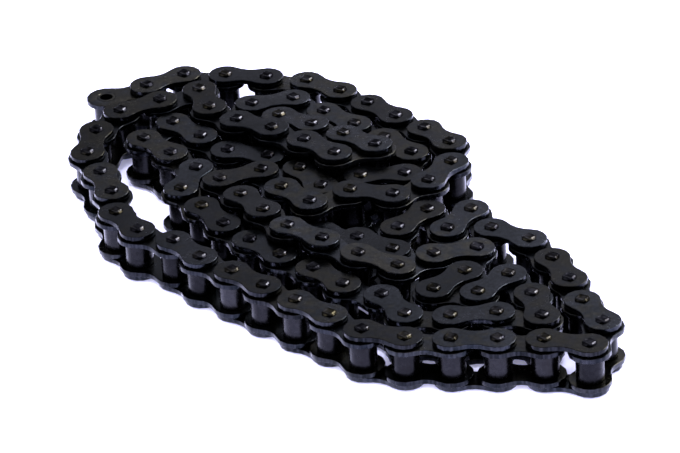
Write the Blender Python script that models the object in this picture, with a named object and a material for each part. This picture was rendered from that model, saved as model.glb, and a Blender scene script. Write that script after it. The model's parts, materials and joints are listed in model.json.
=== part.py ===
"""Heap of roller chain: one length of 12.7 mm pitch chain lying on its side, folded back and forth.

Every link lies nearly flat, with its pins upright. The route starts at the open bush of the free end, at
the back left, and runs to the last inner link, whose open end is tucked under a raised fold near the
middle. A link is drawn along +X from its first pin, with +Z along its pins, and then laid on the route.
"""
import math

import bmesh
import bpy
from mathutils import Matrix, Vector

MM = 0.001

# Chain section
PITCH = 12.7 * MM
PIN_RADIUS = 1.98 * MM
BORE_RADIUS = 2.95 * MM
ROLLER_RADIUS = 3.96 * MM
INNER_WIDTH = 7.85 * MM
PLATE_THICKNESS = 1.5 * MM
PLATE_GAP = 0.3 * MM
PIN_HEAD = 1.0 * MM
INNER_END_RADIUS = 6.03 * MM
INNER_WAIST = 4.2 * MM
OUTER_END_RADIUS = 5.2 * MM
OUTER_WAIST = 3.6 * MM

# Faceting of the round shapes
ROUND_SIDES = 6
END_ANGLES = (-66, -22, 22, 66)
SMOOTH_BELOW = math.radians(65)

# Levels above the middle plane of a link
INNER_FACE = INNER_WIDTH / 2
INNER_BACK = INNER_FACE + PLATE_THICKNESS
OUTER_FACE = INNER_BACK + PLATE_GAP
OUTER_BACK = OUTER_FACE + PLATE_THICKNESS
PIN_END = OUTER_BACK + PIN_HEAD
ROLLER_END = INNER_FACE + PLATE_THICKNESS / 2

# Heading of each link in degrees from +X, fold by fold, from the free end. The first link is an inner one
# and the two kinds take turns.
FOLDS = (
    (15, 27, -8, -13, -18, -39, -50, -51, -50, -57, -91, -124),
    (-147, 162, -156, 129, 117, -161),
    (-62, -60, -59, -41, -41, -32, 34, 15),
    (-107, -136, -15, 45, -63, -81),
    (165, -178, 169, 118, 146, 129, 137, 131, 126, 119, 118, 70, 126, 129),
    (47, -50, -51, -23, -43, -63, 22, -1),
    (79, 127, 132, 134, 135, -167),
    (-49, -41, -44, -45),
    (-163, 133, 136, 144, 129, 104, -159, -159),
    (-124, -101, -72, -74, -84, -60, -36, -54, -45, -47, -46, -44, -47, -25, -10, -7, -7, -19),
    (69, 112, 102, 108, 117, 143, 114),
    (-125, 114, -134, -99, 140, 146),
)

# Rise in mm of the chain above the floor at chosen pins, where a fold rides on its neighbours. Between
# these pins it changes evenly.
RISES = (
    (0, 0.0), (6, 0.0), (8, 0.7), (10, 1.8), (11, 2.2), (14, 2.4), (17, 1.8), (18, 1.8), (20, 3.1),
    (21, 3.6), (22, 3.5), (23, 2.9), (24, 2.0), (25, 1.1), (26, 0.4), (27, 0.0), (58, 0.0), (59, 0.3),
    (60, 0.7), (61, 1.3), (62, 2.1), (63, 3.0), (64, 3.6), (65, 3.8), (66, 3.8), (67, 3.5), (69, 2.6),
    (70, 2.3), (72, 1.5), (74, 0.4), (75, 0.0), (103, 0.0),
)

# A link leans to stay nearly parallel with its neighbours, and this weight pulls it back to upright.
UPRIGHT_PULL = 0.1
LEAN_ROUNDS = 80

# Links at the free end that turn on their own. Past them, an outer link and the inner link after it are
# one piece.
FREE_LINKS = 5
KINDS = ("inner", "outer")

UP = Vector((0, 0, 1))


def steel(name, colour, roughness):
    """A metal material with one plain colour."""
    material = bpy.data.materials.new(name)
    material.use_nodes = True
    surface = material.node_tree.nodes["Principled BSDF"]
    surface.inputs["Base Color"].default_value = (*colour, 1)
    surface.inputs["Metallic"].default_value = 1
    surface.inputs["Roughness"].default_value = roughness
    return material


def rise_at(pin):
    """Height of one pin's middle above that of a link lying on the floor."""
    for (start, low), (end, high) in zip(RISES, RISES[1:]):
        if start <= pin <= end:
            return (low + (high - low) * (pin - start) / (end - start)) * MM


def pin_places():
    """Middle of every pin along the chain, and of the open bush at each end."""
    places = [Vector((0, 0, PIN_END + rise_at(0)))]
    for heading in (math.radians(angle) for fold in FOLDS for angle in fold):
        climb = rise_at(len(places)) - rise_at(len(places) - 1)
        run = math.sqrt(PITCH ** 2 - climb ** 2)
        places.append(places[-1] + Vector((run * math.cos(heading), run * math.sin(heading), climb)))
    return places


def square_to(direction, axis):
    """The part of axis that is square to direction, at length 1."""
    return (axis - axis.dot(direction) * direction).normalized()


def link_directions(places):
    """Direction of each link, from its first pin to its second."""
    return [(end - start).normalized() for start, end in zip(places, places[1:])]


def pin_axes(directions):
    """Pin axis of each link, as near to its neighbours' axes as its own slope allows."""
    axes = [square_to(direction, UP) for direction in directions]
    for _ in range(LEAN_ROUNDS):
        before = [axes[0], *axes[:-1]]
        after = [*axes[1:], axes[-1]]
        pulls = [left + right + UPRIGHT_PULL * UP for left, right in zip(before, after)]
        axes = [square_to(direction, pull) for direction, pull in zip(directions, pulls)]
    return axes


def link_frames():
    """Matrix of each link: its origin is the link's first pin, +X runs along the link, +Z along the pin."""
    places = pin_places()
    directions = link_directions(places)
    frames = []
    for place, direction, axis in zip(places, directions, pin_axes(directions)):
        turn = Matrix((direction, axis.cross(direction), axis)).transposed()
        frames.append(Matrix.Translation(place) @ turn.to_4x4())
    return frames


def plate_outline(end_radius, waist):
    """Points round a waisted plate, counter-clockwise seen from +Z."""
    far_end = [arc_point(PITCH, end_radius, angle) for angle in END_ANGLES]
    near_end = [arc_point(0, end_radius, 180 + angle) for angle in END_ANGLES]
    return [*far_end, (PITCH / 2, waist), *near_end, (PITCH / 2, -waist)]


def arc_point(centre_x, radius, degrees):
    """A point on a circle about a place on the link's X axis."""
    return (centre_x + radius * math.cos(math.radians(degrees)), radius * math.sin(math.radians(degrees)))


def round_outline(centre_x, radius, sides):
    """Points round a regular polygon about a place on the link's X axis."""
    return [arc_point(centre_x, radius, 360 * side / sides) for side in range(sides)]


def add_prism(mesh, frame, outline, low, high):
    """Adds an upright prism over an outline, from one level to another, laid on a link's frame."""
    floor = [mesh.verts.new(frame @ Vector((x, y, low))) for x, y in outline]
    roof = [mesh.verts.new(frame @ Vector((x, y, high))) for x, y in outline]
    mesh.faces.new(reversed(floor))
    mesh.faces.new(roof)
    for side in range(len(outline)):
        after = (side + 1) % len(outline)
        mesh.faces.new((floor[side], floor[after], roof[after], roof[side]))


def add_plates(mesh, frame, outline, face, back):
    """Adds the upper and the lower plate of a link."""
    add_prism(mesh, frame, outline, face, back)
    add_prism(mesh, frame, outline, -back, -face)


def new_object(name, mesh, parent):
    """Turns a bmesh into an object under the parent."""
    data = bpy.data.meshes.new(name)
    for face in mesh.faces:
        face.smooth = True
    mesh.to_mesh(data)
    mesh.free()
    data.set_sharp_from_angle(angle=SMOOTH_BELOW)
    piece = bpy.data.objects.new(name, data)
    piece.parent = parent
    bpy.context.scene.collection.objects.link(piece)
    return piece


def combine(piece, suffix, mesh, operation):
    """Joins a helper solid to a piece, or cuts it away, and keeps the helper out of the model."""
    helper = new_object(piece.name + suffix, mesh, piece)
    helper.hide_render = True
    helper.display_type = "WIRE"
    step = piece.modifiers.new(suffix.strip("_"), "BOOLEAN")
    step.operation = operation
    step.solver = "EXACT"
    step.object = helper


def plate_mesh(frames):
    """Both plates of each link in frames, which holds a matrix for each link's number."""
    mesh = bmesh.new()
    for link, frame in frames.items():
        if link % 2:
            add_plates(mesh, frame, plate_outline(OUTER_END_RADIUS, OUTER_WAIST), OUTER_FACE, OUTER_BACK)
        else:
            add_plates(mesh, frame, plate_outline(INNER_END_RADIUS, INNER_WAIST), INNER_FACE, INNER_BACK)
    return mesh


def round_mesh(frames, places, radius, half_length):
    """Round prisms along the pins, one for each (link, distance from its first pin)."""
    mesh = bmesh.new()
    for link, centre_x in places:
        outline = round_outline(centre_x, radius, ROUND_SIDES)
        add_prism(mesh, frames[link], outline, -half_length, half_length)
    return mesh


def add_piece(name, heap, frames, links, material):
    """One piece: an outer link, an inner link, or an outer link with the inner link after it."""
    home = frames[links[0]]
    local = {link: home.inverted() @ frames[link] for link in links}
    piece = new_object(name, plate_mesh(local), heap)
    piece.matrix_basis = home
    piece.data.materials.append(material)
    pins = [(link, x) for link in links if link % 2 for x in (0, PITCH)]
    rollers = [(link, x) for link in links if link % 2 == 0 for x in (0, PITCH)]
    bores = [(link, x) for link, x in rollers if x or not pins]
    if rollers:
        combine(piece, "_rollers", round_mesh(local, rollers, ROLLER_RADIUS, ROLLER_END), "UNION")
        combine(piece, "_bores", round_mesh(local, bores, BORE_RADIUS, OUTER_FACE), "DIFFERENCE")
    if pins:
        combine(piece, "_pins", round_mesh(local, pins, PIN_RADIUS, PIN_END), "UNION")
    return piece


def centre_on_origin(heap, pieces):
    """Moves the whole heap so that the middle of its box's foot is the origin."""
    corners = []
    for piece in pieces:
        for solid in (piece, *piece.children):
            corners += [piece.matrix_basis @ vertex.co for vertex in solid.data.vertices]
    low = [min(corner[axis] for corner in corners) for axis in range(3)]
    high = [max(corner[axis] for corner in corners) for axis in range(3)]
    heap.location = (-(low[0] + high[0]) / 2, -(low[1] + high[1]) / 2, -low[2])


def main():
    """Clears the scene and builds the heap."""
    for old in list(bpy.data.objects):
        bpy.data.objects.remove(old)
    material = steel("Blackened steel", (0.022, 0.023, 0.030), 0.38)
    heap = bpy.data.objects.new("Heap", None)
    bpy.context.scene.collection.objects.link(heap)
    frames = link_frames()
    pieces = []
    for link in range(FREE_LINKS):
        name = f"free_{KINDS[link % 2]}_link_{link}"
        pieces.append(add_piece(name, heap, frames, (link,), material))
    for link in range(FREE_LINKS, len(frames), 2):
        name = f"link_pair_{link:03d}_{link + 1:03d}"
        pieces.append(add_piece(name, heap, frames, (link, link + 1), material))
    centre_on_origin(heap, pieces)


main()
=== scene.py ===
"""Heap of blackened roller chain, 12.7 mm pitch, lying on its side on a pale studio floor.

The chain is laid on the same route as the solid model: 103 links, inner and outer by turns, from the open
bush at the back left to the last inner link in the middle of the heap. Every plate, pin, bush and roller
is drawn as a piece of its own kind, and the first five links turn on their own pins.
"""

import json
import logging
import math
import random
from abc import ABC, abstractmethod
from collections.abc import Callable, Iterator
from dataclasses import dataclass, field
from enum import Enum

import bmesh
import bpy
from mathutils import Matrix, Vector


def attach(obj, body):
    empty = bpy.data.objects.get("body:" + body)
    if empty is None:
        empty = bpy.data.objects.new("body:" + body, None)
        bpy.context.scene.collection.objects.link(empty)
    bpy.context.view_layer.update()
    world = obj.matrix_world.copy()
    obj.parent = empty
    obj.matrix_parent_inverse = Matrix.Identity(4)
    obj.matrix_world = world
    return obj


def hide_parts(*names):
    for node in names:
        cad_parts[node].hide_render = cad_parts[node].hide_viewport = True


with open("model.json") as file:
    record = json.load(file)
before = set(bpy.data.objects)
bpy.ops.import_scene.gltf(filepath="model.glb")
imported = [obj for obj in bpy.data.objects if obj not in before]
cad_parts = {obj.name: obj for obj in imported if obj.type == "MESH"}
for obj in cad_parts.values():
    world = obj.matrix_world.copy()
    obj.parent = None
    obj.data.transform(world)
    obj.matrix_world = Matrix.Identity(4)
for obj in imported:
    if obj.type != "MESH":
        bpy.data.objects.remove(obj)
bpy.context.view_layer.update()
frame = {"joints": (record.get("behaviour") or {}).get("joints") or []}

LOG = logging.getLogger("roller_chain")
MM = 0.001
UP = Vector((0, 0, 1))
TINY = 1e-6
MIX_FACTOR = 0
MIX_COLOURS = (6, 7)
MIX_RESULT = 2
Colour = tuple[float, float, float]
Span = tuple[float, float]


class LinkKind(Enum):
    """The two kinds of link, which take turns along the chain."""

    INNER = "inner"
    OUTER = "outer"


class Face(Enum):
    """Which of a link's two plates, and the half turn about the link that brings the upper one there."""

    UPPER = 0.0
    LOWER = math.pi


@dataclass(frozen=True)
class Link:
    """One link where it lies.

    Attributes:
        number: Place in the chain, from 0 at the free end.
        kind: Inner or outer.
        place: Matrix whose origin is the link's first pin, with +X along the link and +Z along the pin.
    """

    number: int
    kind: LinkKind
    place: Matrix


@dataclass
class Route:
    """The line of the chain, folded back and forth over the floor.

    Attributes:
        pitch: Distance between neighbouring pins.
        half_pin: Half the length of a pin, which is the middle's height over the floor.
        headings: Heading of each link in degrees from +X, fold by fold.
        rises: Height in mm over a link on the floor at chosen pins. Between them it changes evenly.
        upright_pull: How strongly a link is pulled upright against leaning with its neighbours.
        rounds: How often the lean of the links is evened out.
    """

    pitch: float = 12.7 * MM
    half_pin: float = 8.225 * MM
    headings: tuple[tuple[int, ...], ...] = (
        (15, 27, -8, -13, -18, -39, -50, -51, -50, -57, -91, -124),
        (-147, 162, -156, 129, 117, -161),
        (-62, -60, -59, -41, -41, -32, 34, 15),
        (-107, -136, -15, 45, -63, -81),
        (165, -178, 169, 118, 146, 129, 137, 131, 126, 119, 118, 70, 126, 129),
        (47, -50, -51, -23, -43, -63, 22, -1),
        (79, 127, 132, 134, 135, -167),
        (-49, -41, -44, -45),
        (-163, 133, 136, 144, 129, 104, -159, -159),
        (-124, -101, -72, -74, -84, -60, -36, -54, -45, -47, -46, -44, -47, -25, -10, -7, -7, -19),
        (69, 112, 102, 108, 117, 143, 114),
        (-125, 114, -134, -99, 140, 146),
    )
    rises: tuple[tuple[int, float], ...] = (
        (0, 0.0), (6, 0.0), (8, 0.7), (10, 1.8), (11, 2.2), (14, 2.4), (17, 1.8), (18, 1.8), (20, 3.1),
        (21, 3.6), (22, 3.5), (23, 2.9), (24, 2.0), (25, 1.1), (26, 0.4), (27, 0.0), (58, 0.0), (59, 0.3),
        (60, 0.7), (61, 1.3), (62, 2.1), (63, 3.0), (64, 3.6), (65, 3.8), (66, 3.8), (67, 3.5), (69, 2.6),
        (70, 2.3), (72, 1.5), (74, 0.4), (75, 0.0), (103, 0.0),
    )
    upright_pull: float = 0.1
    rounds: int = 80

    def rise_at(self, pin: int) -> float:
        """Gives the height of a pin's middle over that of a link on the floor.

        Args:
            pin: Number of the pin.

        Returns:
            The height in metres.
        """
        for (start, low), (end, high) in zip(self.rises, self.rises[1:]):
            if start <= pin <= end:
                return (low + (high - low) * (pin - start) / (end - start)) * MM
        return 0.0

    def pins(self) -> list[Vector]:
        """Lays out the middle of every pin, and of the open bush at each end.

        Returns:
            The middles in chain order, with the free end over the origin.
        """
        middles = [Vector((0, 0, self.half_pin + self.rise_at(0)))]
        for heading in (math.radians(angle) for fold in self.headings for angle in fold):
            climb = self.rise_at(len(middles)) - self.rise_at(len(middles) - 1)
            run = math.sqrt(self.pitch ** 2 - climb ** 2)
            middles.append(middles[-1] + Vector((run * math.cos(heading), run * math.sin(heading), climb)))
        return middles

    @staticmethod
    def square_to(direction: Vector, axis: Vector) -> Vector:
        """Gives the part of an axis that is square to a direction.

        Args:
            direction: Direction of a link, of length 1.
            axis: The axis to square up.

        Returns:
            The squared axis, of length 1.
        """
        return (axis - axis.dot(direction) * direction).normalized()

    def pin_axes(self, directions: list[Vector]) -> list[Vector]:
        """Leans each link so that its pins stay nearly parallel with its neighbours' pins.

        Args:
            directions: Direction of each link, of length 1.

        Returns:
            The pin axis of each link.
        """
        axes = [self.square_to(direction, UP) for direction in directions]
        for _ in range(self.rounds):
            before, after = [axes[0], *axes[:-1]], [*axes[1:], axes[-1]]
            pulls = [left + right + self.upright_pull * UP for left, right in zip(before, after)]
            axes = [self.square_to(direction, pull) for direction, pull in zip(directions, pulls)]
        return axes

    def links(self, first_hinge: Vector) -> list[Link]:
        """Places every link, with the first hinge where the solid model has it.

        Args:
            first_hinge: Middle of the chain's second pin in the solid model.

        Returns:
            The links in chain order.
        """
        middles = self.pins()
        shift = first_hinge - middles[1]
        directions = [(end - start).normalized() for start, end in zip(middles, middles[1:])]
        axes = self.pin_axes(directions)
        links = []
        for number, (start, direction, axis) in enumerate(zip(middles, directions, axes)):
            turn = Matrix((direction, axis.cross(direction), axis)).transposed().to_4x4()
            kind = LinkKind.OUTER if number % 2 else LinkKind.INNER
            links.append(Link(number, kind, Matrix.Translation(start + shift) @ turn))
        return links


class Shader:
    """The node tree of one material, with short calls to add nodes to it."""

    def __init__(self, name: str) -> None:
        """Starts a material that holds only its surface shader.

        Args:
            name: Name of the material.
        """
        self.material = bpy.data.materials.new(name)
        self.material.use_nodes = True
        self.tree = self.material.node_tree
        self.surface = self.tree.nodes["Principled BSDF"]

    def add(self, kind: str, inputs: dict[str, object] | None = None, **settings: object) -> bpy.types.Node:
        """Adds one node.

        Args:
            kind: Node type, without the ShaderNode prefix.
            inputs: Value or source socket of each named input.
            settings: Properties of the node.

        Returns:
            The new node.
        """
        node = self.tree.nodes.new("ShaderNode" + kind)
        for name, value in settings.items():
            setattr(node, name, value)
        for name, value in (inputs or {}).items():
            self.feed(node.inputs[name], value)
        return node

    def feed(self, socket: bpy.types.NodeSocket, value: object) -> None:
        """Sets an input, or links a source to it.

        Args:
            socket: The input.
            value: A plain value, or the output socket of another node.
        """
        if isinstance(value, bpy.types.NodeSocket):
            self.tree.links.new(value, socket)
        else:
            socket.default_value = value

    def calculate(self, operation: str, first: object, second: object) -> bpy.types.NodeSocket:
        """Adds a Math node.

        Args:
            operation: What it does with the two numbers.
            first: First value or source.
            second: Second value or source.

        Returns:
            Its output.
        """
        node = self.add("Math", operation=operation)
        self.feed(node.inputs[0], first)
        self.feed(node.inputs[1], second)
        return node.outputs[0]

    def noise(self, vector: bpy.types.NodeSocket, scale: float, detail: float) -> bpy.types.NodeSocket:
        """Adds a noise.

        Args:
            vector: Coordinates that it reads.
            scale: Blotches to the metre.
            detail: Octaves of finer noise.

        Returns:
            Its height, round about a half.
        """
        return self.add("TexNoise", {"Vector": vector, "Scale": scale, "Detail": detail}).outputs[0]

    def spread(self, value: bpy.types.NodeSocket, source: Span, target: Span) -> bpy.types.NodeSocket:
        """Adds a Map Range node, held within its target.

        Args:
            value: What to map.
            source: Lowest and highest value that comes in.
            target: What they become.

        Returns:
            Its output.
        """
        return self.add("MapRange", {
            "Value": value, "From Min": source[0], "From Max": source[1],
            "To Min": target[0], "To Max": target[1],
        }).outputs[0]

    def blend(self, kind: str, factor: object, first: object, second: object) -> bpy.types.NodeSocket:
        """Adds a colour Mix node.

        Args:
            kind: Blend type.
            factor: Share of the second colour, or its source.
            first: First colour or source.
            second: Second colour or source.

        Returns:
            The mixed colour.
        """
        node = self.add("Mix", data_type="RGBA", blend_type=kind)
        for index, value in zip((MIX_FACTOR, *MIX_COLOURS), (factor, first, second)):
            value = (*value, 1) if isinstance(value, tuple) else value
            self.feed(node.inputs[index], value)
        return node.outputs[MIX_RESULT]


@dataclass(frozen=True)
class BlackOxide:
    """A black-oxidised and oiled steel surface.

    Attributes:
        name: Name of its material.
        dark: Colour where the coat is thick.
        light: Colour where it is thin.
        bare: Colour where an edge has rubbed through to the steel.
        mottling: How much lighter or darker than the rest a small spot may be.
        rubbed: Largest share of bare steel on an edge.
        roughness: Lowest and highest roughness.
        grain: Grains to the metre, and the depth of one in metres.
        streaks: Lines to the metre along an edge from the punch, and their depth in metres.
        oil: Tint where the oil has dried brown.
        oil_share: Largest share of that tint.
        grazing: Share of the gloss that is left at a low angle.
        wall_share_and_shade: Share of the colour that is left on upright sides, partly for the rough finish
            that the punch tears and partly as painted shade for the shaded floor that they mirror.
        blotches: Blotches to the metre where the coat is thicker, and octaves of finer noise in them.
        mottles: The same for the small spots.
        oil_patches: The same for the dried oil.
        rubbed_patches: The same for the rubbed stretches of an edge.
        fine_octaves: Octaves of finer noise in the grain and the streaks.
        noise_span: Heights between which nearly all of a noise lies.
        blotch_span: Heights of the blotches between which the coat goes from thick to thin.
        oil_span: Heights of the oil's noise between which the tint sets in.
        oil_bias: How far a copy's own share of oil raises or lowers that noise.
        oil_on_walls: Share of the oil that is left on upright sides.
        rub_span: Heights of the rubbing's noise between which it sets in.
        streak_span: Heights of the streaks between which they grow bare.
        streak_share: Largest share of bare steel in a streak.
        streak_stretch: Scale of the streaks' noise along the pins, so that they run long that way.
        upright_span: Heights of a unit normal between which an upright side passes into a flat one.
        rough_mottling: How much rougher or smoother a small spot may be.
    """

    name: str
    dark: Colour = (0.012, 0.015, 0.019)
    light: Colour = (0.026, 0.029, 0.036)
    bare: Colour = (0.14, 0.14, 0.16)
    mottling: float = 0.45
    rubbed: float = 0.12
    roughness: Span = (0.18, 0.27)
    grain: Span = (3200, 0.000012)
    streaks: Span = (1500, 0.000024)
    oil: Colour = (0.033, 0.030, 0.019)
    oil_share: float = 0.8
    grazing: float = 1.0
    wall_share_and_shade: float = 0.5
    blotches: Span = (110, 4)
    mottles: Span = (900, 3)
    oil_patches: Span = (260, 3)
    rubbed_patches: Span = (420, 4)
    fine_octaves: float = 2
    noise_span: Span = (0.3, 0.7)
    blotch_span: Span = (0.35, 0.65)
    oil_span: Span = (0.45, 0.75)
    oil_bias: float = 0.2
    oil_on_walls: float = 0.25
    rub_span: Span = (0.42, 0.66)
    streak_span: Span = (0.4, 0.62)
    streak_share: float = 0.10
    streak_stretch: float = 0.04
    upright_span: Span = (0.35, 0.7)
    rough_mottling: float = 0.04

    def material(self) -> bpy.types.Material:
        """Builds the material.

        Returns:
            The material. It reads Object coordinates and the attributes place, tone, worn and oiled.
        """
        shader = Shader(self.name)
        surface = shader.surface
        surface.inputs["Metallic"].default_value = 1.0
        surface.inputs["Specular Tint"].default_value = (self.grazing, self.grazing, self.grazing, 1)
        everywhere = shader.add("TexCoord").outputs["Object"]
        place = shader.add("Attribute", attribute_name="place").outputs["Vector"]
        tone = shader.add("Attribute", attribute_name="tone").outputs["Fac"]
        worn = shader.add("Attribute", attribute_name="worn").outputs["Fac"]
        oiled = shader.add("Attribute", attribute_name="oiled").outputs["Fac"]
        upright = shader.add("SeparateXYZ", {"Vector": shader.add("TexCoord").outputs["Normal"]}).outputs["Z"]
        side = shader.spread(shader.calculate("ABSOLUTE", upright, 0.0), self.upright_span, (1.0, 0.0))

        blotch = shader.noise(everywhere, *self.blotches)
        mottle = shader.noise(everywhere, *self.mottles)
        grain = shader.noise(everywhere, self.grain[0], self.fine_octaves)
        stretch = (1.0, 1.0, self.streak_stretch)
        stretched = shader.add("Mapping", {"Vector": place, "Scale": stretch}).outputs[0]
        streak = shader.noise(stretched, self.streaks[0], self.fine_octaves)

        colour = shader.blend("MIX", shader.spread(blotch, self.blotch_span, (0, 1)), self.dark, self.light)
        bias = shader.spread(oiled, (0, 1), (-self.oil_bias, self.oil_bias))
        oily = shader.calculate("ADD", shader.noise(everywhere, *self.oil_patches), bias)
        oily = shader.spread(oily, self.oil_span, (0, self.oil_share))
        oily = shader.calculate("MULTIPLY", oily, shader.spread(side, (0, 1), (1.0, self.oil_on_walls)))
        colour = shader.blend("MIX", oily, colour, self.oil)
        # Upright sides keep only a share of the colour: partly their rough punched finish, partly painted
        # shade for the shaded floor just in front that they mirror.
        tone = shader.calculate("MULTIPLY", tone, shader.spread(side, (0, 1), (1.0, self.wall_share_and_shade)))
        spots = shader.spread(mottle, self.noise_span, (1 - self.mottling, 1 + self.mottling))
        colour = shader.blend("MULTIPLY", 1.0, colour, shader.add("CombineColor", {
            name: shader.calculate("MULTIPLY", tone, spots)
            for name in ("Red", "Green", "Blue")
        }).outputs[0])
        patches = shader.noise(everywhere, *self.rubbed_patches)
        rubbing = shader.spread(patches, self.rub_span, (0.0, self.rubbed))
        colour = shader.blend("MIX", shader.calculate("MULTIPLY", worn, rubbing), colour, self.bare)
        lines = shader.spread(streak, self.streak_span, (0.0, self.streak_share))
        lined = shader.calculate("MULTIPLY", side, lines)
        colour = shader.blend("MIX", lined, colour, self.bare if self.streaks[1] else self.light)
        shader.feed(surface.inputs["Base Color"], colour)

        rough = shader.spread(blotch, self.noise_span, self.roughness)
        uneven = shader.spread(mottle, self.noise_span, (-self.rough_mottling, self.rough_mottling))
        rough = shader.calculate("ADD", rough, uneven)
        shader.feed(surface.inputs["Roughness"], rough)

        furrows = shader.add("Bump", {
            "Height": shader.calculate("MULTIPLY", side, streak), "Distance": self.streaks[1] or TINY,
        })
        grains = shader.add("Bump", {
            "Height": grain, "Distance": self.grain[1], "Normal": furrows.outputs[0],
        })
        shader.feed(surface.inputs["Normal"], grains.outputs[0])
        return shader.material


@dataclass(frozen=True)
class Paper:
    """A matt pale surface that gives off a little light of its own.

    Attributes:
        name: Name of its material.
        colour: Its colour.
        glow: Light that it gives off by itself.
        roughness: Its roughness.
        gloss: How strongly it mirrors.
    """

    name: str
    colour: Colour = (0.70, 0.70, 0.98)
    glow: Colour = (0.18, 0.18, 0.27)
    roughness: float = 0.9
    gloss: float = 0.2

    def material(self) -> bpy.types.Material:
        """Builds the material.

        Returns:
            The material, the same all over.
        """
        shader = Shader(self.name)
        inputs = shader.surface.inputs
        inputs["Base Color"].default_value = (*self.colour, 1)
        inputs["Emission Color"].default_value = (*self.glow, 1)
        inputs["Emission Strength"].default_value = 1.0
        inputs["Roughness"].default_value = self.roughness
        inputs["Specular IOR Level"].default_value = self.gloss
        return shader.material


@dataclass
class Part(ABC):
    """One kind of chain part: drawn once by its class, then laid on every link that has it.

    Attributes:
        finish: Its surface.
        kind: The kind of link that it belongs to.
        pitch: Distance between the two pins of a link.
        tone_spread: How much lighter or darker than the rest one copy may be.
        seed: Start of the draw of the tones.
        numbers: The links that have it, or None for all of that kind.
        skipped: Links that have another part in its place.
        sharp_from: Angle between two faces from which their edge is drawn sharp.
        even_weight: How strongly large faces pull the shading, from 1 to 100, where 50 is neutral.
        skin: Material of its pieces, made with the first of them.
    """

    finish: BlackOxide
    kind: LinkKind
    pitch: float = 12.7 * MM
    tone_spread: float = 0.45
    seed: int = 1
    numbers: frozenset[int] | None = None
    skipped: frozenset[int] = frozenset()
    sharp_from: float = math.radians(58)
    even_weight: int = 60
    skin: bpy.types.Material | None = field(default=None, init=False)

    def belongs_to(self, link: Link) -> bool:
        """Tells whether a link has copies of this part."""
        wanted = self.numbers is None or link.number in self.numbers
        return link.kind is self.kind and wanted and link.number not in self.skipped

    @abstractmethod
    def shape(self, mesh: bmesh.types.BMesh) -> None:
        """Models one copy.

        Args:
            mesh: Empty mesh that takes the copy. Its face layer worn and its edge layer crisp are there to
                be marked.
        """

    @abstractmethod
    def spots(self, link: Link) -> Iterator[Matrix]:
        """Gives the place of each copy that a link has.

        Args:
            link: The link.

        Yields:
            The matrix that lays a copy on the link.
        """

    def make(self, name: str, links: list[Link], nodes: list[str], body: str) -> bpy.types.Object:
        """Lays copies on links and joins them into one piece.

        Args:
            name: Name of the piece.
            links: The links that get copies.
            nodes: The solid nodes that the piece stands for.
            body: The body that it moves with.

        Returns:
            The piece.
        """
        mesh = bmesh.new()
        mesh.faces.layers.float.new("worn")
        mesh.edges.layers.int.new("crisp")
        tone = mesh.faces.layers.float.new("tone")
        oiled = mesh.faces.layers.float.new("oiled")
        place = mesh.verts.layers.float_vector.new("place")
        self.shape(mesh)
        for vertex in mesh.verts:
            vertex[place] = vertex.co
        crisp = mesh.edges.layers.int["crisp"]
        for edge in mesh.edges:
            edge.smooth = not edge[crisp] and edge.calc_face_angle(0) < self.sharp_from
        model = [*mesh.verts, *mesh.edges, *mesh.faces]
        draw = random.Random(self.seed + links[0].number)
        for link in links:
            for spot in self.spots(link):
                copy = bmesh.ops.duplicate(mesh, geom=model)["geom"]
                verts = [item for item in copy if isinstance(item, bmesh.types.BMVert)]
                bmesh.ops.transform(mesh, matrix=spot, verts=verts)
                shade, share = 1 + draw.uniform(-self.tone_spread, self.tone_spread), draw.random()
                for item in copy:
                    if isinstance(item, bmesh.types.BMFace):
                        item[tone], item[oiled] = shade, share
                        item.smooth = True
        first = [item for item in model if isinstance(item, bmesh.types.BMVert)]
        bmesh.ops.delete(mesh, geom=first, context="VERTS")
        return self.finished(name, mesh, nodes, body)

    def finished(self, name: str, mesh: bmesh.types.BMesh, nodes: list[str], body: str) -> bpy.types.Object:
        """Turns the joined copies into a dressed piece.

        Args:
            name: Name of the piece.
            mesh: The copies where they lie.
            nodes: The solid nodes that the piece stands for.
            body: The body that it moves with.

        Returns:
            The piece.
        """
        data = bpy.data.meshes.new(name)
        mesh.to_mesh(data)
        mesh.free()
        self.skin = self.skin or self.finish.material()
        data.materials.append(self.skin)
        piece = bpy.data.objects.new(name, data)
        bpy.context.scene.collection.objects.link(piece)
        even = piece.modifiers.new("even_shading", "WEIGHTED_NORMAL")
        even.keep_sharp = True
        even.weight = self.even_weight
        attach(piece, body)
        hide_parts(*nodes)
        LOG.info("%s on %s: %d faces", name, body, len(data.polygons))
        return piece


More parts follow.
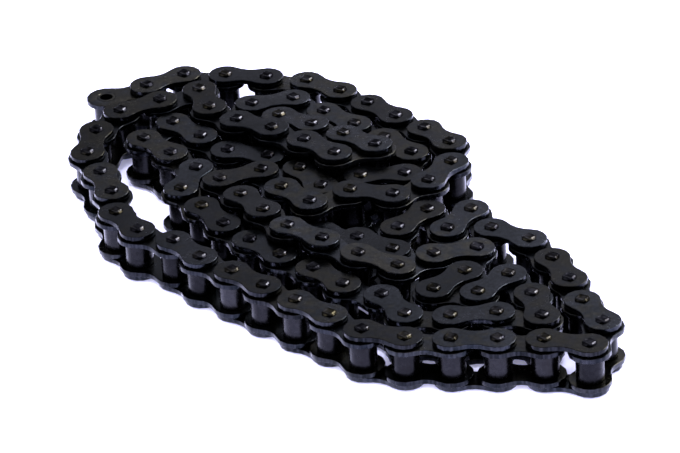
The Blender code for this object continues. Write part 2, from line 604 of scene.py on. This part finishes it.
@dataclass
class Plate(Part):
    """A waisted side plate, punched from strip, two to a link.

    Attributes:
        face: Level of its inner side over the middle of the link.
        thickness: Thickness of the strip.
        end_radius: Radius of its round ends.
        waist: Half its width at the waist.
        top_round: Width of the rounded edge on the side where the punch came in.
        back_round: Width of the broken edge on the other side.
        bore: Radius of the hole for an open bush, or 0 for a plate whose ends are both taken.
        bore_at: Where along the link that hole is.
        end_steps: Steps from the tip of an end to the waist's curve.
        waist_steps: Steps from there to the middle of the waist.
        bore_sides: Steps round the hole.
        corner_from: Angle between two faces from which their edge is rounded.
    """

    face: float = 5.725 * MM
    thickness: float = 1.5 * MM
    end_radius: float = 5.2 * MM
    waist: float = 3.6 * MM
    top_round: float = 0.17 * MM
    back_round: float = 0.12 * MM
    bore: float = 0.0
    bore_at: float = 0.0
    end_steps: int = 5
    waist_steps: int = 2
    bore_sides: int = 20
    corner_from: float = math.radians(60)

    def shape(self, mesh: bmesh.types.BMesh) -> None:
        """Models the upper plate from a quarter of its outline.

        Args:
            mesh: Empty mesh that takes the plate.
        """
        half = self.pitch / 2
        gap = half ** 2 + self.waist ** 2 - self.end_radius ** 2
        waist_radius = gap / (2 * (self.end_radius - self.waist))
        meet = math.atan2(self.waist + waist_radius, -half)
        start = mesh.verts.new((self.pitch + self.end_radius, 0, self.face))
        arc = bmesh.ops.spin(
            mesh, geom=[start], cent=(self.pitch, 0, self.face), axis=(0, 0, 1), angle=meet,
            steps=self.end_steps,
        )["geom_last"]
        bmesh.ops.spin(
            mesh, geom=[item for item in arc if isinstance(item, bmesh.types.BMVert)],
            cent=(half, self.waist + waist_radius, self.face), axis=(0, 0, -1), angle=meet - math.pi / 2,
            steps=self.waist_steps,
        )
        for axis, middle in (("Y", Vector((0, 0, 0))), ("X", Vector((half, 0, 0)))):
            bmesh.ops.mirror(
                mesh, geom=[*mesh.verts, *mesh.edges], matrix=Matrix.Translation(-middle),
                merge_dist=TINY, axis=axis,
            )
        bmesh.ops.remove_doubles(mesh, verts=mesh.verts, dist=TINY)
        if self.bore:
            bmesh.ops.create_circle(
                mesh, cap_ends=False, segments=self.bore_sides, radius=self.bore,
                matrix=Matrix.Translation((self.bore_at, 0, self.face)),
            )
            bmesh.ops.triangle_fill(mesh, edges=mesh.edges, use_beauty=True)
        else:
            bmesh.ops.contextual_create(mesh, geom=mesh.edges)
        raised = bmesh.ops.extrude_face_region(mesh, geom=mesh.faces)["geom"]
        top = [item for item in raised if isinstance(item, bmesh.types.BMVert)]
        bmesh.ops.translate(mesh, verts=top, vec=(0, 0, self.thickness))
        bmesh.ops.recalc_face_normals(mesh, faces=mesh.faces)
        for level, width in ((self.face + self.thickness, self.top_round), (self.face, self.back_round)):
            self.round_edge(mesh, level, width)

    def round_edge(self, mesh: bmesh.types.BMesh, level: float, width: float) -> None:
        """Rounds every edge between a flat side and an upright one.

        Args:
            mesh: The plate.
            level: Height of the flat side.
            width: Width of the rounding.
        """
        edges = [
            edge for edge in mesh.edges
            if all(abs(vertex.co.z - level) < TINY for vertex in edge.verts)
            and edge.calc_face_angle(0) > self.corner_from
        ]
        rounded = bmesh.ops.bevel(
            mesh, geom=edges, offset=width, offset_type="OFFSET", segments=1, profile=0.5, affect="EDGES",
            material=-1,
        )["faces"]
        worn = mesh.faces.layers.float["worn"]
        for face in rounded:
            face[worn] = 1.0

    def spots(self, link: Link) -> Iterator[Matrix]:
        """Gives the upper and the lower plate of a link of the right kind.

        Args:
            link: The link.

        Yields:
            The matrix that lays a plate on the link.
        """
        if self.belongs_to(link):
            for face in Face:
                yield link.place @ Matrix.Rotation(face.value, 4, "X")


@dataclass
class RoundPart(Part):
    """A part that is round about a pin, one at each end of a link.

    Attributes:
        ends: Which ends of the link get one, as shares of the pitch.
    """

    ends: tuple[float, ...] = (0.0, 1.0)

    def spots(self, link: Link) -> Iterator[Matrix]:
        """Gives the ends of a link of the right kind.

        Args:
            link: The link.

        Yields:
            The matrix that lays the part on the link.
        """
        if self.belongs_to(link):
            for end in self.ends:
                yield link.place @ Matrix.Translation((end * self.pitch, 0, 0))


@dataclass
class Tube(RoundPart):
    """A turned tube: a bush pressed into the inner plates, or the roller that runs on it.

    Attributes:
        bore: Inner radius.
        radius: Outer radius.
        half_length: Half its length.
        chamfer: Width of its broken outer edges.
        sides: Steps round it.
        broken_slopes: Heights of a unit normal between which a face is a broken edge.
    """

    bore: float = 2.86 * MM
    radius: float = 3.96 * MM
    half_length: float = 3.8 * MM
    chamfer: float = 0.25 * MM
    sides: int = 20
    broken_slopes: Span = (0.2, 0.9)

    def shape(self, mesh: bmesh.types.BMesh) -> None:
        """Spins the section of the tube's wall.

        Args:
            mesh: Empty mesh that takes the tube.
        """
        wall = [
            (self.bore, -self.half_length), (self.radius - self.chamfer, -self.half_length),
            (self.radius, self.chamfer - self.half_length), (self.radius, self.half_length - self.chamfer),
            (self.radius - self.chamfer, self.half_length), (self.bore, self.half_length),
        ]
        corners = [mesh.verts.new((radius, 0, level)) for radius, level in wall]
        edges = [mesh.edges.new((start, end)) for start, end in zip(corners, [*corners[1:], corners[0]])]
        bmesh.ops.spin(
            mesh, geom=[*corners, *edges], cent=(0, 0, 0), axis=(0, 0, 1), angle=2 * math.pi,
            steps=self.sides, use_merge=True,
        )
        bmesh.ops.recalc_face_normals(mesh, faces=mesh.faces)
        worn = mesh.faces.layers.float["worn"]
        least, most = self.broken_slopes
        for face in mesh.faces:
            if least < abs(face.normal.z) < most:
                face[worn] = 1.0


@dataclass
class Pin(RoundPart):
    """A riveted pin, its upper end staked on four sides so that its top is left square.

    Attributes:
        radius: Radius of the pin.
        head_radius: Radius of its swelled ends.
        foot_radius: Radius of the flat at its lower end.
        foot: Level of that flat, which stands on the floor.
        foot_break: Height of the broken edge round it.
        plate_back: Level of the outer plates' backs, where the swelling starts.
        top: Level of its upper end.
        table: Half the width of the square left on top.
        stake: Width of the staked sides.
        slope: Fall of the staked sides for their run.
        stake_reach: Furthest that they reach from the axis.
        ledge_slope: Fall for its run of the ledge that is left outside them.
        dish: Depth of the hollow in the top.
        dish_share: Width of the hollow's flat bottom, as a share of the square.
        sides: Steps round it.
        facing: Direction from +X that one side of the square faces, whatever the line of its link.
        turn_spread: Furthest that a pin's square is turned from there.
        seed_step: Step between the seeds of two parts, wide enough for the number of every link.
    """

    radius: float = 1.98 * MM
    head_radius: float = 2.12 * MM
    foot_radius: float = 1.8 * MM
    foot: float = -8.225 * MM
    foot_break: float = 0.25 * MM
    plate_back: float = 7.225 * MM
    top: float = 7.92 * MM
    table: float = 1.30 * MM
    stake: float = 0.40 * MM
    slope: float = 0.60
    stake_reach: float = 1.98 * MM
    ledge_slope: float = 0.9
    dish: float = 0.09 * MM
    dish_share: float = 0.72
    sides: int = 12
    facing: float = math.radians(-38)
    turn_spread: float = math.radians(14)
    seed_step: int = 1000

    def shape(self, mesh: bmesh.types.BMesh) -> None:
        """Raises one ring of edges from the foot to the top.

        Args:
            mesh: Empty mesh that takes the pin.
        """
        bmesh.ops.create_circle(
            mesh, cap_ends=True, segments=self.sides, radius=self.foot_radius,
            matrix=Matrix.Translation(self.foot * UP) @ Matrix.Rotation(math.pi / self.sides, 4, "Z"),
        )
        ring = list(mesh.edges)
        for reach, level in (
            (self.head_radius, self.foot + self.foot_break), (self.radius, -self.plate_back),
            (self.radius, self.plate_back),
        ):
            ring = self.raise_ring(mesh, ring, lambda _: (reach, level))
        rim = self.raise_ring(mesh, ring, self.at_rim)
        staked = self.raise_ring(mesh, rim, self.at_stake)
        square = self.raise_ring(mesh, staked, lambda angle: (self.table_reach(angle), self.top))
        crisp = mesh.edges.layers.int["crisp"]
        for edge in (*rim, *staked, *square):
            edge[crisp] = 1
        worn = mesh.faces.layers.float["worn"]
        for face in {face for edge in square for face in edge.link_faces}:
            face[worn] = 1.0
        ring = self.raise_ring(
            mesh, square, lambda angle: (self.table_reach(angle) * self.dish_share, self.top - self.dish),
        )
        bmesh.ops.contextual_create(mesh, geom=ring)
        bmesh.ops.recalc_face_normals(mesh, faces=mesh.faces)

    def spots(self, link: Link) -> Iterator[Matrix]:
        """Gives the ends of a link, each with its pin turned a little.

        Args:
            link: The link.

        Yields:
            The matrix that lays the pin on the link.
        """
        draw = random.Random(self.seed_step * self.seed + link.number)
        heading = math.atan2(link.place[1][0], link.place[0][0])
        for spot in super().spots(link):
            turn = self.facing - heading + draw.uniform(-self.turn_spread, self.turn_spread)
            yield spot @ Matrix.Rotation(turn, 4, "Z")

    @staticmethod
    def raise_ring(mesh: bmesh.types.BMesh, ring: list[bmesh.types.BMEdge],
                   section: Callable[[float], tuple[float, float]]) -> list[bmesh.types.BMEdge]:
        """Extrudes a ring of edges to a new level and shape.

        Args:
            mesh: The pin.
            ring: The edges to extrude.
            section: Function from the angle round the pin to the distance from its axis and the level.

        Returns:
            The edges of the new ring.
        """
        grown = bmesh.ops.extrude_edge_only(mesh, edges=ring)["geom"]
        for vertex in (item for item in grown if isinstance(item, bmesh.types.BMVert)):
            angle = math.atan2(vertex.co.y, vertex.co.x)
            reach, level = section(angle)
            vertex.co = Vector((reach * math.cos(angle), reach * math.sin(angle), level))
        return [item for item in grown if isinstance(item, bmesh.types.BMEdge)]

    @staticmethod
    def squareness(angle: float) -> float:
        """Gives the share of a radius at an angle that counts towards the nearest side of the square."""
        return max(abs(math.cos(angle)), abs(math.sin(angle)))

    def table_reach(self, angle: float) -> float:
        """Gives the distance from the axis to the edge of the square top at an angle."""
        return self.table / self.squareness(angle)

    def at_stake(self, angle: float) -> tuple[float, float]:
        """Gives the foot of the staked sides.

        Args:
            angle: Angle round the pin.

        Returns:
            Its distance from the axis and its level.
        """
        reach = min((self.table + self.stake) / self.squareness(angle), self.stake_reach)
        return reach, self.top - self.slope * (reach * self.squareness(angle) - self.table)

    def at_rim(self, angle: float) -> tuple[float, float]:
        """Gives the outer edge of the ledge.

        Args:
            angle: Angle round the pin.

        Returns:
            Its distance from the axis and its level.
        """
        reach, level = self.at_stake(angle)
        return self.head_radius, level - self.ledge_slope * (self.head_radius - reach)


@dataclass
class Chain:
    """The whole heap: which parts each link has, and the body that it moves with.

    Attributes:
        links: The links in chain order.
        free_links: How many links at the free end turn on their own.
        pitch: Distance between neighbouring pins.
        plate_finish: Surface of the plates and of the two open bushes.
        pin_finish: Surface of the pins.
        roller_finish: Surface of the rollers and of the other bushes.
    """

    links: list[Link]
    free_links: int = 5
    pitch: float = 12.7 * MM
    plate_finish: BlackOxide = BlackOxide("plate_steel")
    pin_finish: BlackOxide = BlackOxide(
        "pin_steel", dark=(0.004, 0.0037, 0.005), light=(0.009, 0.009, 0.012), roughness=(0.11, 0.18),
        rubbed=0.3, oil=(0.022, 0.019, 0.011), streaks=(1500, 0.0), oil_share=0.9, grazing=0.54,
        wall_share_and_shade=1.0,
    )
    roller_finish: BlackOxide = BlackOxide(
        "roller_steel", dark=(0.010, 0.010, 0.011), light=(0.016, 0.016, 0.018), roughness=(0.22, 0.30),
        rubbed=0.1, mottling=0.2, streaks=(1500, 0.0), oil_share=0.15, wall_share_and_shade=1.0,
    )

    def node_of(self, link: Link) -> str:
        """Gives the name of the solid node that holds a link.

        Args:
            link: The link.

        Returns:
            The node's name.
        """
        if link.number < self.free_links:
            return f"free_{link.kind.value}_link_{link.number}"
        first = link.number - (link.number - self.free_links) % 2
        return f"link_pair_{first:03d}_{first + 1:03d}"

    def parts(self) -> dict[str, Part]:
        """Lists the kinds of part.

        Returns:
            Each kind by the name of its pieces.
        """
        last = self.links[-1].number
        ends = frozenset({0, last})
        inner = {"face": 3.925 * MM, "end_radius": 6.03 * MM, "waist": 4.2 * MM, "seed": 2}
        bush = {"bore": 1.99 * MM, "radius": 2.8 * MM, "sides": 16, "chamfer": 0.08 * MM}
        open_end = {"first": (frozenset({0}), 0.0), "last": (frozenset({last}), 1.0)}
        parts = {
            "outer_plates": Plate(self.plate_finish, LinkKind.OUTER),
            "inner_plates": Plate(self.plate_finish, LinkKind.INNER, skipped=ends, **inner),
            "pins": Pin(self.pin_finish, LinkKind.OUTER, seed=3, tone_spread=0.5),
            "bushes": Tube(self.roller_finish, LinkKind.INNER, seed=4, half_length=4.8 * MM, **bush),
            "rollers": Tube(self.roller_finish, LinkKind.INNER, seed=5),
        }
        for name, (numbers, end) in open_end.items():
            parts[f"bored_plates_{name}"] = Plate(
                self.plate_finish, LinkKind.INNER, numbers=numbers, bore=2.83 * MM,
                bore_at=end * self.pitch, **inner,
            )
            parts[f"open_bush_{name}"] = Tube(
                self.plate_finish, LinkKind.INNER, numbers=numbers, seed=2, half_length=5.42 * MM,
                ends=(end,), **{**bush, "chamfer": 0.03 * MM},
            )
        return parts

    def build(self) -> list[bpy.types.Object]:
        """Builds every piece of the heap.

        Returns:
            The pieces.
        """
        pieces = []
        parts = self.parts()
        groups = [(f"_{number}", [self.links[number]]) for number in range(self.free_links)]
        groups.append(("", self.links[self.free_links:]))
        for suffix, links in groups:
            body = self.node_of(links[0]) if suffix else "heap"
            nodes = sorted({self.node_of(link) for link in links})
            for name, part in parts.items():
                if any(part.belongs_to(link) for link in links):
                    pieces.append(part.make(name + suffix, links, nodes, body))
        return pieces


@dataclass
class Studio:
    """The floor, the soft lights and the camera.

    Attributes:
        target: Point that the camera looks at.
        distance: Distance from there to the camera.
        elevation: Angle of the camera over the floor.
        roll: Turn of the camera about its view.
        lens: Focal length in mm.
        frame_width: Width of the camera's frame in mm.
        clip: Nearest and furthest distance that the camera sees.
        floor_size: Side of the floor.
        floor_drop: How far under the lowest pin the floor lies, so that no face is shared.
        floor_finish: Surface of the floor.
        sky_by_height: Grey of the sky at each height of a unit direction.
        sky_by_side: What that is multiplied by from left to right.
        sky_blue: How much bluer than grey the sky is.
    """

    target: Vector = field(default_factory=lambda: Vector((1.385, -15.535, 16.357)) * MM)
    distance: float = 1.2959
    elevation: float = math.radians(29.2874)
    roll: float = math.radians(-3.3324)
    lens: float = 241.71
    frame_width: float = 36
    clip: Span = (0.05, 20)
    floor_size: float = 8.0
    floor_drop: float = 0.0001
    floor_finish: Paper = Paper("pale_paper")
    sky_by_height: tuple[Span, ...] = (
        (0.05, 1.0), (0.30, 0.29), (0.60, 0.67), (0.78, 0.32), (0.92, 0.70),
    )
    sky_by_side: tuple[Span, ...] = ((-0.12, 0.58), (0.0, 1.0), (0.12, 1.72))
    sky_blue: float = 1.08

    def build(self) -> None:
        """Sets up everything round the object."""
        self.camera()
        self.floor()
        self.sky()
        self.window("key_from_right", radiance=17.0, size=(1.1, 0.45), distance=1.6, height=46, bearing=58)
        self.far_light("soft_from_left", strength=0.25, width=32, height=38, bearing=-94)
        self.far_light("wash_on_floor", strength=13.5, width=70, height=48, bearing=182, glossy=False)
        bpy.context.scene.view_settings.view_transform = "Standard"

    def camera(self) -> None:
        """Places the camera at the photograph's angle."""
        data = bpy.data.cameras.new("camera")
        data.sensor_width, data.lens = self.frame_width, self.lens
        data.clip_start, data.clip_end = self.clip
        camera = bpy.data.objects.new("camera", data)
        back = Vector((0, -math.cos(self.elevation), math.sin(self.elevation)))
        right = Vector((1, 0, 0))
        turn = Matrix((right, back.cross(right), back)).transposed().to_4x4()
        place = Matrix.Translation(self.target + self.distance * back)
        camera.matrix_world = place @ turn @ Matrix.Rotation(self.roll, 4, "Z")
        bpy.context.scene.collection.objects.link(camera)
        bpy.context.scene.camera = camera

    def floor(self) -> None:
        """Lays a wide pale floor."""
        mesh = bmesh.new()
        bmesh.ops.create_grid(mesh, x_segments=1, y_segments=1, size=self.floor_size / 2)
        data = bpy.data.meshes.new("floor")
        mesh.to_mesh(data)
        mesh.free()
        data.materials.append(self.floor_finish.material())
        floor = bpy.data.objects.new("floor", data)
        floor.location.z = -self.floor_drop
        bpy.context.scene.collection.objects.link(floor)

    def sky(self) -> None:
        """Makes a world that is brightest near the horizon, with two dim bands under a lighter top."""
        world = bpy.data.worlds.new("studio")
        bpy.context.scene.world = world
        world.use_nodes = True
        nodes, links = world.node_tree.nodes, world.node_tree.links
        towards = nodes.new("ShaderNodeSeparateXYZ")
        links.new(nodes.new("ShaderNodeTexCoord").outputs["Generated"], towards.inputs[0])
        both = nodes.new("ShaderNodeMix")
        both.data_type, both.blend_type = "RGBA", "MULTIPLY"
        both.inputs[MIX_FACTOR].default_value = 1.0
        for axis, stops, socket in zip("ZX", (self.sky_by_height, self.sky_by_side), MIX_COLOURS):
            place = nodes.new("ShaderNodeMapRange")
            place.inputs["From Min"].default_value = -1.0
            links.new(towards.outputs[axis], place.inputs["Value"])
            ramp = nodes.new("ShaderNodeValToRGB")
            links.new(place.outputs[0], ramp.inputs[0])
            while len(ramp.color_ramp.elements) < len(stops):
                ramp.color_ramp.elements.new(0.5)
            for element, (position, grey) in zip(ramp.color_ramp.elements, stops):
                element.position = (position + 1) / 2
                element.color = (grey, grey, grey * self.sky_blue, 1)
            links.new(ramp.outputs[0], both.inputs[socket])
        links.new(both.outputs[MIX_RESULT], nodes["Background"].inputs["Color"])

    @staticmethod
    def towards(height: float, bearing: float) -> Vector:
        """Gives the direction of a light.

        Args:
            height: Its height over the floor in degrees.
            bearing: Its direction in degrees clockwise from behind the object.

        Returns:
            The direction, of length 1.
        """
        rise, turn = math.radians(height), math.radians(bearing)
        return Vector((math.sin(turn) * math.cos(rise), math.cos(turn) * math.cos(rise), math.sin(rise)))

    def window(self, name: str, radiance: float, size: Span, distance: float, height: float,
               bearing: float) -> None:
        """Adds a rectangular soft light that faces the object and shows only in its gloss.

        Args:
            name: Name of the light.
            radiance: Brightness of its face.
            size: Its width and height.
            distance: Distance from the object.
            height: Its height over the floor in degrees.
            bearing: Its direction in degrees clockwise from behind the object.
        """
        data = bpy.data.lights.new(name, "AREA")
        data.shape, data.size, data.size_y = "RECTANGLE", *size
        data.energy = radiance * math.pi * size[0] * size[1]
        light = bpy.data.objects.new(name, data)
        towards = self.towards(height, bearing)
        light.location = towards * distance
        light.rotation_euler = towards.to_track_quat("Z", "Y").to_euler()
        light.visible_camera = light.visible_diffuse = False
        bpy.context.scene.collection.objects.link(light)

    def far_light(self, name: str, strength: float, width: float, height: float, bearing: float,
                  glossy: bool = True) -> None:
        """Adds a wide and soft light from far away.

        Args:
            name: Name of the light.
            strength: Light on a surface that faces it.
            width: Its width in degrees.
            height: Its height over the floor in degrees.
            bearing: Its direction in degrees clockwise from behind the object.
            glossy: Whether it shows in the gloss of the steel.
        """
        data = bpy.data.lights.new(name, "SUN")
        data.energy, data.angle = strength, math.radians(width)
        light = bpy.data.objects.new(name, data)
        light.rotation_euler = self.towards(height, bearing).to_track_quat("Z", "Y").to_euler()
        light.visible_glossy = glossy
        bpy.context.scene.collection.objects.link(light)


def first_hinge() -> Vector:
    """Gives the middle of the pin between the first two links in the solid model."""
    return Vector(next(joint["pos_m"] for joint in frame["joints"] if joint["name"] == "pin_1_hinge"))


def main() -> None:
    """Builds the studio and the heap."""
    logging.basicConfig(level=logging.INFO, format="%(message)s")
    Studio().build()
    chain = Chain(Route().links(first_hinge()))
    pieces = chain.build()
    LOG.info("%d pieces on %d links", len(pieces), len(chain.links))


if __name__ == "__main__":
    main()
